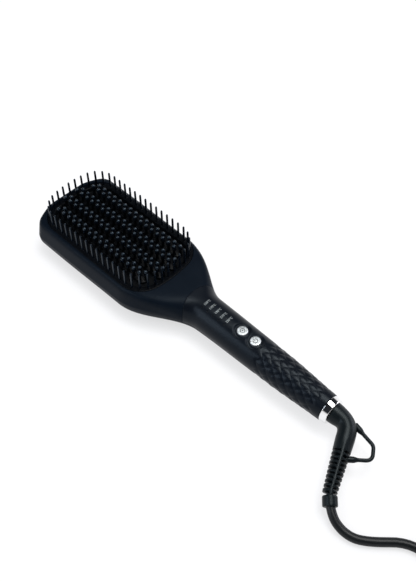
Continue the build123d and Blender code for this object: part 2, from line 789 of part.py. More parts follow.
def make_tail():
    socket_end = (plug_entry[0] - socket_depth, *plug_entry[1:])
    return tube([*tail_route, socket_end], cord_radius)


# ----------------------------------------------------------------------------- build
def make_case_screws():
    screws = []
    for x, y in case_screws_at:
        seat = screw_seat(x)
        head = upright(screw_head_radius, seat - screw_head_height, seat, x, y)
        screws.append(head + upright(screw_radius, seat, case_screw_top - 1, x, y))
    return screws


def main():
    back, front, cover = make_shells()
    save("back_shell", back)
    save("front_shell", front)
    save("handle_cover", cover)
    frame, bristles = make_frame_and_bristles()
    save("bristle_frame", frame)
    save("edge_bristles", group(bristles))
    for index in range(4):
        save(f"heated_comb_{index + 1}", make_comb(index))
        save(f"comb_caps_{index + 1}", group(make_caps(index)))
    for name, shape in make_heater_stack().items():
        save(name, shape)
    for name, shape in make_board().items():
        save(name, shape)
    save("light_guide", make_light_guide())
    for name, x in zip(("mode", "power"), button_centres):
        head, plunger = make_button(x)
        save(f"{name}_button", head)
        save(f"{name}_plunger", plunger)
    for name, shape in make_swivel().items():
        save(name, shape)
    save("cord_sleeve", make_sleeve())
    save("hanging_loop", tube(loop_path, loop_rod_radius, [loop_corner_radius] * 2))
    leads, mains = make_wires()
    save("heater_leads", group(leads))
    save("mains_leads", group(mains))
    save("case_screws", group(make_case_screws()))
    save("mains_cord", make_cord())
    save("cord_coil", make_coil())
    save("plug_tail", make_tail())
    body, pins = make_plug()
    save("plug_body", body)
    save("plug_pins", group(pins))


main()
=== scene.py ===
"""Looks of the heated paddle brush: shells, pad, buttons, ring, sleeve, cord and finishes.

Lengths are millimetres in the frame of the CAD model, and make_mesh turns them into metres.
The camera, the floor and the lights are in metres.
"""

from math import cos, pi, radians, sin, sqrt, tau

import bmesh
import bpy
import numpy as np
from mathutils import Matrix, Vector
from mathutils.bvhtree import BVHTree


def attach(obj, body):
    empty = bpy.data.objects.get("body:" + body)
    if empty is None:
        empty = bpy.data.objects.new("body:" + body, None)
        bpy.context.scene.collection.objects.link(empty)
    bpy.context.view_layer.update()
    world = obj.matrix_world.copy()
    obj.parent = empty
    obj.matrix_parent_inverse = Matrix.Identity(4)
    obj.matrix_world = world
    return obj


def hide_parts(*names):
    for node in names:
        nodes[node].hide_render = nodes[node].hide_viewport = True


MM = 0.001
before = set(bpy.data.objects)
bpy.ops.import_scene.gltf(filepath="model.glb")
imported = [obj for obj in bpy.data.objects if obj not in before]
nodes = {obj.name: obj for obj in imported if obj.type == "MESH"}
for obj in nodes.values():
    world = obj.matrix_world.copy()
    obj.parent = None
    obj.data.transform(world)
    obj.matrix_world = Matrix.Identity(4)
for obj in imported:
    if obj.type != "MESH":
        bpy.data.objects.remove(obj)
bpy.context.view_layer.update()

# ---- shared dimensions
HEAD_LENGTH, NECK_LENGTH, HANDLE_LENGTH, RING_WIDTH = 101.0, 58.0, 108.5, 5.0
END_X = (HEAD_LENGTH + NECK_LENGTH + HANDLE_LENGTH + RING_WIDTH) / 2
TIP_X, RING_X = -END_X, END_X - RING_WIDTH
NECK_START = TIP_X + HEAD_LENGTH
NECK_END = NECK_START + NECK_LENGTH
NOSE = 36.0                 # tip to where the head's sides start to close in
TOP_NOSE, LOW_NOSE = 5.0, 20.0          # how far the tip's upper and lower curves reach
HEAD_END_RADIUS, HEAD_CORNER_RADIUS = 76.0, 9.0
HEAD_WIDTH, HEAD_WIDTH_AT_NECK = 75.4, 73.8
NECK_WIDTH, GRIP_WIDTH, TAIL_WIDTH = 27.8, 24.7, 19.0
GRIP_AT, TAIL_FROM = 0.75, 0.62         # shares of the handle: grip reached, tail starts
BODY_TOP, HANDLE_TOP, TAIL_TOP = 30.0, 29.0, 25.65
HANDLE_LOW, TAIL_LOW = 4.0, 5.9
HEAD_WAIST, FOOT_CUT = 16.6, 0.4        # widest level of the head, and depth of its flat foot
SHOULDER = (2.0, 1.6, 2.6)  # how far the neck swells: half width, underside, widest level
UPPER_POWER, LOWER_POWER, GRIP_POWER = 10.0, 2.6, 2.05      # squareness of the sections
PARTING, WALL = 13.0, 2.2   # level of the line between the shells, and their wall
SEAM_X, SEAM_RADIUS = (NECK_START + NECK_END) / 2 + 12.6, 27.0
PAD_HALF_LENGTH, PAD_HALF_WIDTH = 59.5, 32.2
PAD_X = TIP_X + 4.6 + PAD_HALF_LENGTH
PAD_END_RADIUS, PAD_CORNER_RADIUS = 90.0, 20.0
FRAME_TOP, FRAME_BOTTOM, PLATE_TOP = 29.4, 25.2, 26.6
BUTTONS = (NECK_END + 31.6, NECK_END + 43.6)
BUTTON_RADIUS, DISH_RADIUS, DISH_DEPTH = 3.85, 6.9, 1.0
INDICATORS = [NECK_END - 2.2 + 5.3 * index for index in range(5)]
INDICATOR_Y, INDICATOR_RADIUS = -5.2, 0.85
AXIS_Z = 15.75              # height of the swivel's axis
BRISTLE_TOP, CAP_TOP = 44.5, 38.2
BRISTLES, BRISTLE_INSET = 53, 2.8       # outer bristles, and their line inside the pad's outline
TOOTH_PITCH, ROW_OFFSET = 6.0, 1.72     # along a comb, and from its middle to each of its rows
COMB_SPACING, COMB_STEPS = 11.5, (16, 18, 18, 16)
GRIP_START, GRIP_STOP = 74.0, 125.6
PILLOW_X, PILLOW_PITCH, PILLOWS_ROUND, GROOVE_DEPTH = 83.5, 8.35, 10, 0.36
SCREWS = ((NECK_START + 28.0, 13.0), (NECK_START + 28.0, -13.0), (90.9, 0.0))
WELL_RADIUS, WELL_FLOOR = 2.7, 3.4      # screw wells, and their floor above the underside
EDGE = 0.38                 # width of the rounded edge along every shell seam
EDGE_LINES = (0.0, 0.05, 0.12, 0.22, EDGE)
GAP = 0.05                  # half the gap between two shells
SEAM_CARRY = 24.0           # how far from the neck seam the stations bend with it
UPPER_COLUMNS, LOWER_COLUMNS = 170, 120
CORD_RADIUS, CORD_LENGTH = 3.0, 1750.0


# ---- small maths
def smooth(value, start, stop):
    t = np.clip((value - start) / (stop - start), 0.0, 1.0)
    return t * t * (3 - 2 * t)


def mix(first, second, share):
    return first + (second - first) * share


def unit(vector):
    return vector / np.maximum(np.linalg.norm(vector, axis=-1, keepdims=True), 1e-12)


def running(steps):
    """Sums of all steps so far, from 0."""
    return np.concatenate([[0.0], np.cumsum(steps)])


def resample(line, arc, places):
    """Points of a line at places along its arc."""
    return np.stack([np.interp(places, arc, values) for values in line.T], axis=-1)


def corner_curve(start, corner, stop, steps):
    """Points of a curve that rounds a corner."""
    shares = [k / steps for k in range(steps + 1)]
    return [start * (1 - t) ** 2 + corner * 2 * t * (1 - t) + stop * t ** 2 for t in shares]


# ---- pieces
def make_mesh(name, vertices, faces):
    mesh = bpy.data.meshes.new(name)
    mesh.from_pydata((np.asarray(vertices, float) * MM).tolist(), [], faces)
    mesh.update()
    return mesh


def add_object(name, data):
    made = bpy.data.objects.new(name, data)
    bpy.context.scene.collection.objects.link(made)
    return made


def evaluated(made):
    """A new mesh of an object as its modifiers leave it."""
    bpy.context.view_layer.update()
    graph = bpy.context.evaluated_depsgraph_get()
    return bpy.data.meshes.new_from_object(made.evaluated_get(graph))


def add_piece(name, data, material, body="root", replaces=()):
    piece = add_object(name, data)
    data.materials.clear()
    data.materials.append(material)
    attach(piece, body)
    if replaces:
        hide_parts(*replaces)
    return piece


def remake(node, mesh, material, body="root"):
    """A finer form in place of a node's solids."""
    return add_piece(f"{node}_form", mesh, material, body, [node])


def shade(mesh, degrees=35):
    """Smooth shading with creases where faces meet at more than an angle."""
    for polygon in mesh.polygons:
        polygon.use_smooth = True
    limit = cos(radians(degrees))
    work = bmesh.new()
    work.from_mesh(mesh)
    bmesh.ops.recalc_face_normals(work, faces=work.faces)
    for edge in work.edges:
        if len(edge.link_faces) == 2:
            first, second = edge.link_faces
            edge.smooth = first.normal.dot(second.normal) > limit
    work.to_mesh(mesh)
    work.free()


class Builder:
    """Collects turned and swept forms into one mesh."""

    def __init__(self):
        self.vertices, self.faces = [], []

    def rings(self, rings, capped=True):
        """Joins equal rings of points into a tube."""
        base, count = len(self.vertices), len(rings[0])
        for ring in rings:
            self.vertices.extend(tuple(point) for point in ring)
        for row in range(len(rings) - 1):
            low = base + row * count
            for k in range(count):
                following = (k + 1) % count
                self.faces.append((low + k, low + following, low + count + following, low + count + k))
        if capped:
            self.faces.append(tuple(range(base + count - 1, base - 1, -1)))
            last = base + (len(rings) - 1) * count
            self.faces.append(tuple(range(last, last + count)))

    def lathe(self, profile, place, segments=16, capped=True):
        """Turns (radius, height) pairs about the Z axis of place."""
        turns = [tau * k / segments for k in range(segments)]
        rings = [[place @ Vector((radius * cos(turn), radius * sin(turn), height))
                  for turn in turns] for radius, height in profile]
        self.rings(rings, capped)

    def mesh(self, name, degrees=35):
        mesh = make_mesh(name, self.vertices, self.faces)
        shade(mesh, degrees)
        return mesh


def upright_at(x, y):
    return Matrix.Translation((x, y, 0.0))


def aimed(origin, direction):
    """A frame at origin whose Z axis is direction."""
    turn = Vector(direction).to_track_quat("Z", "Y").to_matrix().to_4x4()
    return Matrix.Translation(origin) @ turn


def rounded(profile, radius, steps=4):
    """Rounds the corners of an open profile of pairs."""
    points = [Vector(pair) for pair in profile]
    out = [tuple(points[0])]
    for before, corner, after in zip(points, points[1:], points[2:]):
        reach = min(radius, 0.45 * (corner - before).length, 0.45 * (after - corner).length)
        start = corner + (before - corner).normalized() * reach
        stop = corner + (after - corner).normalized() * reach
        out += [tuple(point) for point in corner_curve(start, corner, stop, steps)]
    out.append(tuple(points[-1]))
    return out


# ---- finishes
def add_node(tree, kind, inputs=(), **settings):
    """A node whose inputs are set to values or linked to other nodes' outputs."""
    made = tree.nodes.new(kind)
    for key, value in settings.items():
        setattr(made, key, value)
    for key, value in dict(inputs).items():
        if isinstance(value, bpy.types.NodeSocket):
            tree.links.new(value, made.inputs[key])
        else:
            made.inputs[key].default_value = value
    return made


class Finish:
    """A node material that starts with a Principled shader and object coordinates."""

    def __init__(self, name):
        self.material = bpy.data.materials.new(name)
        self.material.use_nodes = True
        self.tree = self.material.node_tree
        self.shader = self.tree.nodes["Principled BSDF"]
        self.place = self.tree.nodes.new("ShaderNodeTexCoord").outputs["Object"]

    def node(self, kind, inputs=(), **settings):
        return add_node(self.tree, kind, inputs, **settings)

    def noise(self, size, detail=2.0):
        """Noise with features of about size millimetres."""
        made = self.node("ShaderNodeTexNoise", {
            "Vector": self.place, "Scale": 1.0 / (size * MM), "Detail": detail, "Roughness": 0.55})
        return made.outputs["Fac"]

    def spread(self, factor, low, high):
        """Turns a noise into a number between low and high."""
        made = self.node("ShaderNodeMapRange", {
            "Value": factor, "From Min": 0.3, "From Max": 0.7, "To Min": low, "To Max": high})
        return made.outputs["Result"]

    def tint(self, factor, first, second):
        made = self.node("ShaderNodeMix", {
            0: factor, 6: (*first, 1.0), 7: (*second, 1.0)}, data_type="RGBA")
        return made.outputs[2]

    def join(self, output, socket):
        self.tree.links.new(output, self.shader.inputs[socket])

    def relief(self, height, depth):
        """Bump of a depth in millimetres."""
        bump = self.node("ShaderNodeBump", {
            "Strength": RELIEF_STRENGTH, "Distance": depth * MM, "Height": height})
        self.join(bump.outputs["Normal"], "Normal")


RELIEF_STRENGTH, COAT_ROUGHNESS = 0.6, 0.08


def moulded(name, colour, roughness, grain=0.35, depth=0.02, spread=0.12, specular=0.4,
            patch=14.0, coat=0.0, metallic=0.0, index=1.5, gleam=(1.0, 1.0, 1.0)):
    """Moulded or drawn material: fine surface grain, uneven gloss and slight colour drift.

    grain and patch are the sizes of the fine and the broad unevenness and depth the relief's,
    in millimetres; spread is the share by which the roughness varies; index is the index of
    refraction, and gleam the colour of the mirrored light."""
    made = Finish(name)
    fine = made.noise(grain, 3.0)
    broad = made.noise(patch, 2.0)
    colour = np.array(colour)
    made.join(made.tint(broad, colour * 0.82, np.minimum(colour * 1.18, 1.0)), "Base Color")
    mixed = made.node("ShaderNodeMath", {0: fine, 1: broad}, operation="ADD").outputs[0]
    halved = made.node("ShaderNodeMath", {0: mixed, 1: 0.5}, operation="MULTIPLY").outputs[0]
    low, high = roughness * (1 - spread), roughness * (1 + spread)
    made.join(made.spread(halved, low, high), "Roughness")
    made.relief(fine, depth)
    settings = {"Specular IOR Level": specular, "Metallic": metallic, "IOR": index,
                "Specular Tint": (*gleam, 1.0)}
    if coat:
        settings.update({"Coat Weight": coat, "Coat Roughness": COAT_ROUGHNESS})
    for socket, value in settings.items():
        made.shader.inputs[socket].default_value = value
    return made.material


def metal(name, colour, roughness, grain, depth, spread, patch):
    return moulded(name, colour, roughness, grain, depth, spread, 0.5, patch, metallic=1.0)


SHELL = moulded("shell_satin_black", (0.0034, 0.0058, 0.0100), 0.36, 0.30, 0.010, 0.10, 0.5,
                index=1.14, gleam=(0.78, 0.90, 1.0))
GRIP = moulded("cover_satin_black", (0.0028, 0.0042, 0.0072), 0.33, 0.30, 0.010, 0.10, 0.5,
               index=1.24, gleam=(0.80, 0.91, 1.0))
BACK = moulded("back_satin_black", (0.0034, 0.0058, 0.0100), 0.38, 0.30, 0.010, 0.10, 0.5,
               index=1.14, gleam=(0.78, 0.90, 1.0))
FRAME_NYLON = moulded("frame_nylon", (0.0018, 0.0024, 0.0036), 0.34, 0.5, 0.01, 0.15, 0.5,
                      index=1.14)
BRISTLE = moulded("bristle_nylon", (0.0030, 0.0048, 0.0082), 0.25, 0.4, 0.01, 0.15, 0.5,
                  index=1.38, gleam=(0.60, 0.80, 1.0))
CAP = moulded("cap_gloss_black", (0.0026, 0.0046, 0.0080), 0.15, 0.5, 0.006, 0.2, 0.5,
              index=1.52, gleam=(0.62, 0.82, 1.0))
CERAMIC = moulded("heater_ceramic", (0.0022, 0.0027, 0.0036), 0.32, 0.2, 0.02, 0.15, 0.5,
                  index=1.20)
RESIN = moulded("heat_resin", (0.020, 0.018, 0.016), 0.55, 0.4, 0.03)
PTC = moulded("ptc_ceramic", (0.16, 0.15, 0.13), 0.7, 0.15, 0.03)
BRASS = metal("contact_brass", (0.62, 0.44, 0.17), 0.28, 0.2, 0.01, 0.25, 6.0)
MICA = moulded("mica_sheet", (0.42, 0.36, 0.24), 0.45, 0.6, 0.02, 0.3)
SPRING_STEEL = metal("spring_steel", (0.42, 0.41, 0.40), 0.34, 0.2, 0.01, 0.2, 8.0)
SCREW_STEEL = metal("screw_steel", (0.30, 0.30, 0.31), 0.30, 0.15, 0.01, 0.25, 3.0)
FUSE = metal("fuse_metal", (0.55, 0.50, 0.42), 0.30, 0.3, 0.01, 0.2, 4.0)
SENSOR = moulded("sensor_glass", (0.35, 0.10, 0.05), 0.12, 0.5, 0.005, 0.2, 0.5,
                 patch=4.0, coat=0.5)
BOARD = moulded("board_laminate", (0.015, 0.085, 0.035), 0.38, 0.25, 0.02, 0.2, 0.5,
                patch=3.0, coat=0.3)
COMPONENT = moulded("component_plastic", (0.022, 0.022, 0.024), 0.42, 0.2, 0.02)
LED = moulded("led_resin", (0.65, 0.62, 0.50), 0.2, 0.3, 0.005, 0.2, 0.5, patch=2.0)
CAPACITOR = moulded("capacitor_box", (0.42, 0.33, 0.03), 0.35, 0.3, 0.01)
TERMINAL = moulded("terminal_resin", (0.05, 0.14, 0.07), 0.45, 0.3, 0.02)
GUIDE = moulded("clear_guide", (0.007, 0.009, 0.012), 0.25, 0.6, 0.004, 0.2, 0.5,
                patch=3.0, index=1.25)
BUSH = moulded("bush_nylon", (0.45, 0.44, 0.40), 0.40, 0.4, 0.02)
SPINDLE = moulded("spindle_resin", (0.020, 0.020, 0.022), 0.40, 0.3, 0.02)
RUBBER = moulded("sleeve_rubber", (0.0036, 0.0056, 0.0068), 0.36, 0.25, 0.015, 0.12, 0.5,
                 index=1.26, gleam=(0.86, 0.96, 1.0))
CORD_RUBBER = moulded("cord_rubber", (0.0060, 0.0072, 0.0082), 0.38, 0.35, 0.015, 0.14, 0.5,
                      patch=20.0, index=1.3)
PLUG_RUBBER = moulded("plug_rubber", (0.0105, 0.0115, 0.0125), 0.42, 0.3, 0.03, 0.12, 0.42)
PIN_STEEL = metal("pin_steel", (0.70, 0.68, 0.62), 0.20, 0.2, 0.006, 0.3, 4.0)
LEAD = moulded("lead_insulation", (0.42, 0.035, 0.03), 0.45, 0.3, 0.02, 0.15)
CHROME = metal("ring_chrome", (0.86, 0.86, 0.87), 0.07, 0.8, 0.0015, 0.3, 9.0)
SILVER = moulded("button_silver", (0.62, 0.65, 0.66), 0.30, 0.12, 0.004, 0.18, 0.5,
                 patch=5.0, coat=0.3, metallic=0.75)
ICON = moulded("icon_print", (0.055, 0.060, 0.066), 0.45, 0.15, 0.004)
PRINT = moulded("figure_print", (0.34, 0.37, 0.37), 0.5, 0.12, 0.004)

FINISHES = (
    (BACK, "back_shell"), (SHELL, "front_shell"), (GRIP, "handle_cover"),
    (FRAME_NYLON, "bristle_frame"), (BRISTLE, "edge_bristles"),
    (CERAMIC, "heater_plate heated_comb_1 heated_comb_2 heated_comb_3 heated_comb_4"),
    (CAP, "comb_caps_1 comb_caps_2 comb_caps_3 comb_caps_4"), (RESIN, "plate_carrier"),
    (PTC, "ptc_heaters"), (BRASS, "electrode_strips slip_rings contact_springs"),
    (MICA, "insulation_sheet"), (SPRING_STEEL, "clamp_plate"),
    (SCREW_STEEL, "clamp_screws case_screws"), (FUSE, "thermal_fuse"), (SENSOR, "thermistor"),
    (BOARD, "control_board"), (COMPONENT, "tact_switches triac microcontroller"),
    (LED, "indicator_leds"), (CAPACITOR, "filter_capacitor"), (TERMINAL, "mains_terminal"),
    (GUIDE, "light_guide"), (SILVER, "mode_button power_button"),
    (BUSH, "mode_plunger power_plunger swivel_bush"), (CHROME, "end_ring"),
    (SPINDLE, "swivel_spindle contact_holder"), (RUBBER, "cord_sleeve hanging_loop"),
    (LEAD, "heater_leads mains_leads"), (CORD_RUBBER, "mains_cord cord_coil plug_tail"),
    (PLUG_RUBBER, "plug_body"), (PIN_STEEL, "plug_pins"),
)
for material, names in FINISHES:
    for name in names.split():
        nodes[name].data.materials.clear()
        nodes[name].data.materials.append(material)


# ---- outer form
def head_plan(step):
    """Half width of the head at a step behind its tip: end arc, corner arc, then straight."""
    half = HEAD_WIDTH / 2
    reach = HEAD_END_RADIUS - HEAD_CORNER_RADIUS
    corner_y = half - HEAD_CORNER_RADIUS
    corner_step = HEAD_END_RADIUS - sqrt(reach ** 2 - corner_y ** 2)
    meet = HEAD_END_RADIUS * (1 - sqrt(1 - (corner_y / reach) ** 2))
    end = np.sqrt(np.maximum(2 * HEAD_END_RADIUS * step - step ** 2, 0.0))
    corner = corner_y + np.sqrt(np.maximum(HEAD_CORNER_RADIUS ** 2 - (corner_step - step) ** 2, 0.0))
    return np.where(step < meet, end, np.where(step < corner_step, corner, half))


def body_form(x):
    """Half width, underside, top, widest level and squareness of the body at x."""
    step = np.maximum(x - TIP_X, 0.0)
    along_head = smooth(x, TIP_X + NOSE, NECK_START)
    head = head_plan(step) * mix(HEAD_WIDTH, HEAD_WIDTH_AT_NECK, along_head) / HEAD_WIDTH
    into_neck = smooth(x, NECK_START, NECK_END)
    along_grip = np.clip((x - NECK_END) / (RING_X - NECK_END), 0.0, 1.0)
    grip = mix(NECK_WIDTH, GRIP_WIDTH, np.minimum(along_grip / GRIP_AT, 1.0)) / 2
    grip = mix(grip, TAIL_WIDTH / 2, smooth(x, mix(NECK_END, RING_X, TAIL_FROM), RING_X + 12))
    half = mix(head, grip, into_neck)
    front = np.minimum(step / TOP_NOSE, 1.0)
    back = np.minimum(step / LOW_NOSE, 1.0)
    high = HEAD_WAIST + (BODY_TOP - HEAD_WAIST) * (1 - (1 - front) ** 3) ** (1 / 3)
    low = mix(HEAD_WAIST, -FOOT_CUT, (1 - (1 - back) ** 2.4) ** (1 / 2.4))
    low = mix(low, HANDLE_LOW, smooth(x, NECK_START + 18, NECK_END + 24))
    low = mix(low, TAIL_LOW, smooth(x, NECK_END, RING_X + 6))
    high = mix(mix(high, HANDLE_TOP, into_neck), TAIL_TOP, along_grip)
    waist = mix(HEAD_WAIST, (low + high) / 2, into_neck)
    swell = 4 * into_neck * (1 - into_neck)
    half, low, waist = (size + by * swell for size, by in zip((half, low, waist), SHOULDER))
    return half, low, high, waist, smooth(x, NECK_START + 8, NECK_END - 6)


def section(x, angle, inset):
    """Points of the body's surface at x and angle, moved inwards by inset."""
    half, low, high, waist, round_off = body_form(x)
    half, low, high = half - inset, low + inset, high - inset
    upper = np.sin(angle) > 0
    power = mix(np.where(upper, UPPER_POWER, LOWER_POWER), GRIP_POWER, round_off)
    size = (np.abs(np.cos(angle)) ** power + np.abs(np.sin(angle)) ** power) ** (-1 / power)
    lift, side = size * np.sin(angle), size * np.cos(angle)
    side = side * (1 - mix(0.08, 0.0, round_off) * np.maximum(lift, 0.0))
    return half * side, waist + np.where(upper, high - waist, waist - low) * lift


def parting_angle(x, inset, level):
    """Angle below the widest level at which the section meets a height."""
    _, low, _, waist, round_off = body_form(x)
    power = mix(LOWER_POWER, GRIP_POWER, round_off)
    drop = np.clip((waist - level) / (waist - low - inset), 0.0, 0.999)
    return np.arctan2(drop, (1 - drop ** power) ** (1 / power))


def angle_shares(x, start, stop, count, inset):
    """Shares of the way from start to stop, even in arc and bend, with lines at both edges."""
    fine = np.linspace(0.0, 1.0, 901)
    angles = start[:, None] + (stop - start)[:, None] * fine
    y, z = section(x[:, None], angles, inset)
    dy, dz = np.diff(y), np.diff(z)
    step = np.hypot(dy, dz)
    heading = np.unwrap(np.arctan2(dz, dy), axis=1)
    bend = np.abs(np.diff(heading, axis=1, prepend=heading[:, :1]))
    rows = []
    for k in range(len(x)):
        arc = running(step[k])
        weight = running(step[k] / arc[-1] + 0.35 * bend[k] / pi)
        reach = np.minimum(EDGE_LINES, arc[-1] * 0.02 * np.arange(len(EDGE_LINES)))
        first = np.interp(reach, arc, fine)
        last = np.interp(arc[-1] - reach[::-1], arc, fine)
        inner = np.linspace(np.interp(first[-1], fine, weight), np.interp(last[0], fine, weight), count)
        inner = np.interp(inner[1:-1], weight, fine)
        rows.append(np.concatenate([first, inner, last]))
    return np.array(rows)


def seam_x(y, shift):
    """Plan arc of the neck seam, moved along the brush by shift."""
    reach = SEAM_RADIUS - shift
    return SEAM_X + SEAM_RADIUS - np.sqrt(np.maximum(reach ** 2 - y ** 2, 1.0))


def shell_grid(stations, side, inset, lead):
    """Grid of surface points: side is +1 above the parting plane and -1 below it.

    lead is +1 where the last line lies on the neck seam, -1 where the first one does, and 0
    where none does."""
    x = np.asarray(stations, float)

    def limits(values):
        below = parting_angle(values, inset, PARTING + side * GAP)
        if side > 0:
            return -below, pi + below
        return pi + below, 2 * pi - below

    start, stop = limits(x)
    count = UPPER_COLUMNS if side > 0 else LOWER_COLUMNS
    shares = angle_shares(x, start, stop, count, inset)
    grid_x = np.repeat(x[:, None], shares.shape[1], axis=1)
    if lead:
        row = -1 if lead > 0 else 0
        carry = 1 - smooth(np.abs(x - x[row]), 2 * EDGE, SEAM_CARRY)
        move = np.zeros(shares.shape[1])
        for _ in range(12):
            edge_x = x[row] + move
            first, last = limits(edge_x)
            y, _ = section(edge_x, first + (last - first) * shares[row], inset)
            move = mix(move, seam_x(y, -lead * GAP) - x[row], 0.8)
        grid_x = grid_x + carry[:, None] * move[None, :]
    first, last = limits(grid_x)
    y, z = section(grid_x, first + (last - first) * shares, inset)
    return np.stack([grid_x, y, z], axis=-1)


def quilt(points, angle):
    """Depth of the grip's diamond quilting: pillows between two sets of crossing grooves."""
    along = (points[..., 0] - PILLOW_X) / PILLOW_PITCH
    around = (angle / tau - 0.25) * PILLOWS_ROUND
    first = np.abs(np.cos(pi * (along + around)))
    second = np.abs(np.cos(pi * (along - around)))
    zone = smooth(points[..., 0], GRIP_START - 1.0, GRIP_START + 3.0)
    zone *= 1 - smooth(points[..., 0], GRIP_STOP - 2.0, GRIP_STOP + 0.5)
    return GROOVE_DEPTH * (1 - (first * second) ** 0.70) * zone


def rounded_edge(distance):
    """How far a surface falls away within EDGE of a seam."""
    t = np.clip(1 - distance / EDGE, 0.0, 1.0)
    return EDGE * (1 - np.sqrt(np.maximum(1 - t ** 2, 0.0)))


def dishes(points):
    """Depth of the dished rings round the buttons."""
    depth = np.zeros(points.shape[:2])
    top = points[..., 2] > AXIS_Z + 4
    for x in BUTTONS:
        radius = np.hypot(points[..., 0] - x, points[..., 1])
        fall = DISH_DEPTH * (1 - smooth(radius, DISH_RADIUS - 1.5, DISH_RADIUS))
        lip = 0.14 * np.exp(-((radius - 5.0) / 0.22) ** 2)
        depth = np.maximum(depth, np.where(top, fall + lip * (radius < DISH_RADIUS), 0.0))
    return depth


def outward(points):
    """Outward unit normals of a shell's grid."""
    across = np.gradient(points, axis=1)
    along = np.gradient(points, axis=0)
    normals = unit(np.cross(across, along))
    aim = points - (0.0, 0.0, HEAD_WAIST)
    aim[..., 0] = 0.0
    sign = np.sign(np.median(np.sum(normals * aim, axis=-1)))
    return normals * sign


def polar(points):
    """Angle about the handle's middle line."""
    return np.arctan2(points[..., 2] - body_form(points[..., 0])[3], points[..., 1])


def shell_mesh(name, outer, inner, close_nose):
    """Closed shell between an outer and an inner grid of equal shape."""
    rows, columns = outer.shape[:2]
    count = rows * columns
    vertices = np.concatenate([outer.reshape(-1, 3), inner.reshape(-1, 3)])
    faces = []

    def at(row, column, layer=0):
        return layer * count + row * columns + column

    for row in range(rows - 1):
        for column in range(columns - 1):
            a, b = at(row, column), at(row, column + 1)
            c, d = at(row + 1, column + 1), at(row + 1, column)
            faces.append((a, d, c, b))
            faces.append((count + a, count + b, count + c, count + d))
    for row in range(rows - 1):
        for column, flip in ((0, False), (columns - 1, True)):
            quad = (at(row, column), at(row, column, 1), at(row + 1, column, 1), at(row + 1, column))
            faces.append(quad[::-1] if flip else quad)
    for column in range(columns - 1):
        faces.append((at(rows - 1, column), at(rows - 1, column, 1),
                      at(rows - 1, column + 1, 1), at(rows - 1, column + 1)))
        if not close_nose:
            faces.append((at(0, column + 1), at(0, column + 1, 1), at(0, column, 1), at(0, column)))
    if close_nose:
        faces.append(tuple(at(0, column) for column in range(columns)))
        faces.append(tuple(at(0, column, 1) for column in reversed(range(columns))))
    mesh = make_mesh(name, vertices, faces)
    shade(mesh)
    return mesh


def keep_curvature(mesh, points, reach=0.004):
    """Gives the cut shell the normals of its uncut surface, and creases elsewhere."""
    rows, columns = points.shape[:2]
    flat = points.reshape(-1, 3)
    around = outward(points).reshape(-1, 3)
    quads = []
    for row in range(rows - 1):
        for column in range(columns - 1):
            a = row * columns + column
            quads.append((a, a + 1, a + columns + 1))
            quads.append((a, a + columns + 1, a + columns))
    tree = BVHTree.FromPolygons([Vector(p) for p in flat], quads)
    mesh.update()
    source = {}
    for vertex in mesh.vertices:
        place = vertex.co / MM
        hit, _, index, gap = tree.find_nearest(place, 0.5)
        if hit is None or gap > reach:
            continue
        a, b, c = quads[index]
        corners = np.vstack([flat[[a, b, c]].T, [1.0, 1.0, 1.0]])
        weights = np.linalg.lstsq(corners, np.append(np.array(hit), 1.0), rcond=None)[0]
        weights = np.clip(weights, 0.0, 1.0)
        source[vertex.index] = Vector(unit(weights @ around[[a, b, c]]))
    shade(mesh, 30)
    corner = [Vector(entry.vector) for entry in mesh.corner_normals]
    for polygon in mesh.polygons:
        for loop in polygon.loop_indices:
            known = source.get(mesh.loops[loop].vertex_index)
            if known is not None and known.dot(polygon.normal) > 0.6:
                corner[loop] = known
    mesh.normals_split_custom_set(corner)


def cut(piece, tools):
    """Takes closed tool meshes out of a piece."""
    for tool_mesh in tools:
        tool = add_object("cutter", tool_mesh)
        modifier = piece.modifiers.new("cut", "BOOLEAN")
        modifier.operation = "DIFFERENCE"
        modifier.solver = "EXACT"
        modifier.object = tool
        done = evaluated(piece)
        piece.modifiers.clear()
        old, piece.data = piece.data, done
        bpy.data.meshes.remove(old)
        bpy.data.objects.remove(tool)


def drum(radius, low, high, x, y, segments=64):
    """An upright cylinder that cuts a hole."""
    form = Builder()
    form.lathe([(radius, low), (radius, high)], upright_at(x, y), segments)
    return form.mesh("tool")


def nose_stations():
    """Stations along the nose, even along the head's plan."""
    reach = HEAD_END_RADIUS - HEAD_CORNER_RADIUS
    meet = np.arcsin((HEAD_WIDTH / 2 - HEAD_CORNER_RADIUS) / reach)
    corner = HEAD_END_RADIUS - reach * cos(meet)
    end = HEAD_END_RADIUS * (1 - np.cos(np.linspace(radians(0.6), meet, 30)))
    bend = corner - HEAD_CORNER_RADIUS * np.cos(np.linspace(meet, pi / 2, 16)[1:])
    return TIP_X + np.concatenate([end, bend, spaced(corner, NOSE, 1.4)[1:]])


def inner_stations(stations):
    """Stations of the inside, which starts a wall's thickness behind the tip."""
    stations = np.asarray(stations, float)
    return stations + WALL * (1 - smooth(stations, TIP_X, TIP_X + 24))


def spaced(start, stop, step):
    return np.linspace(start, stop, max(2, int(round((stop - start) / step)) + 1))


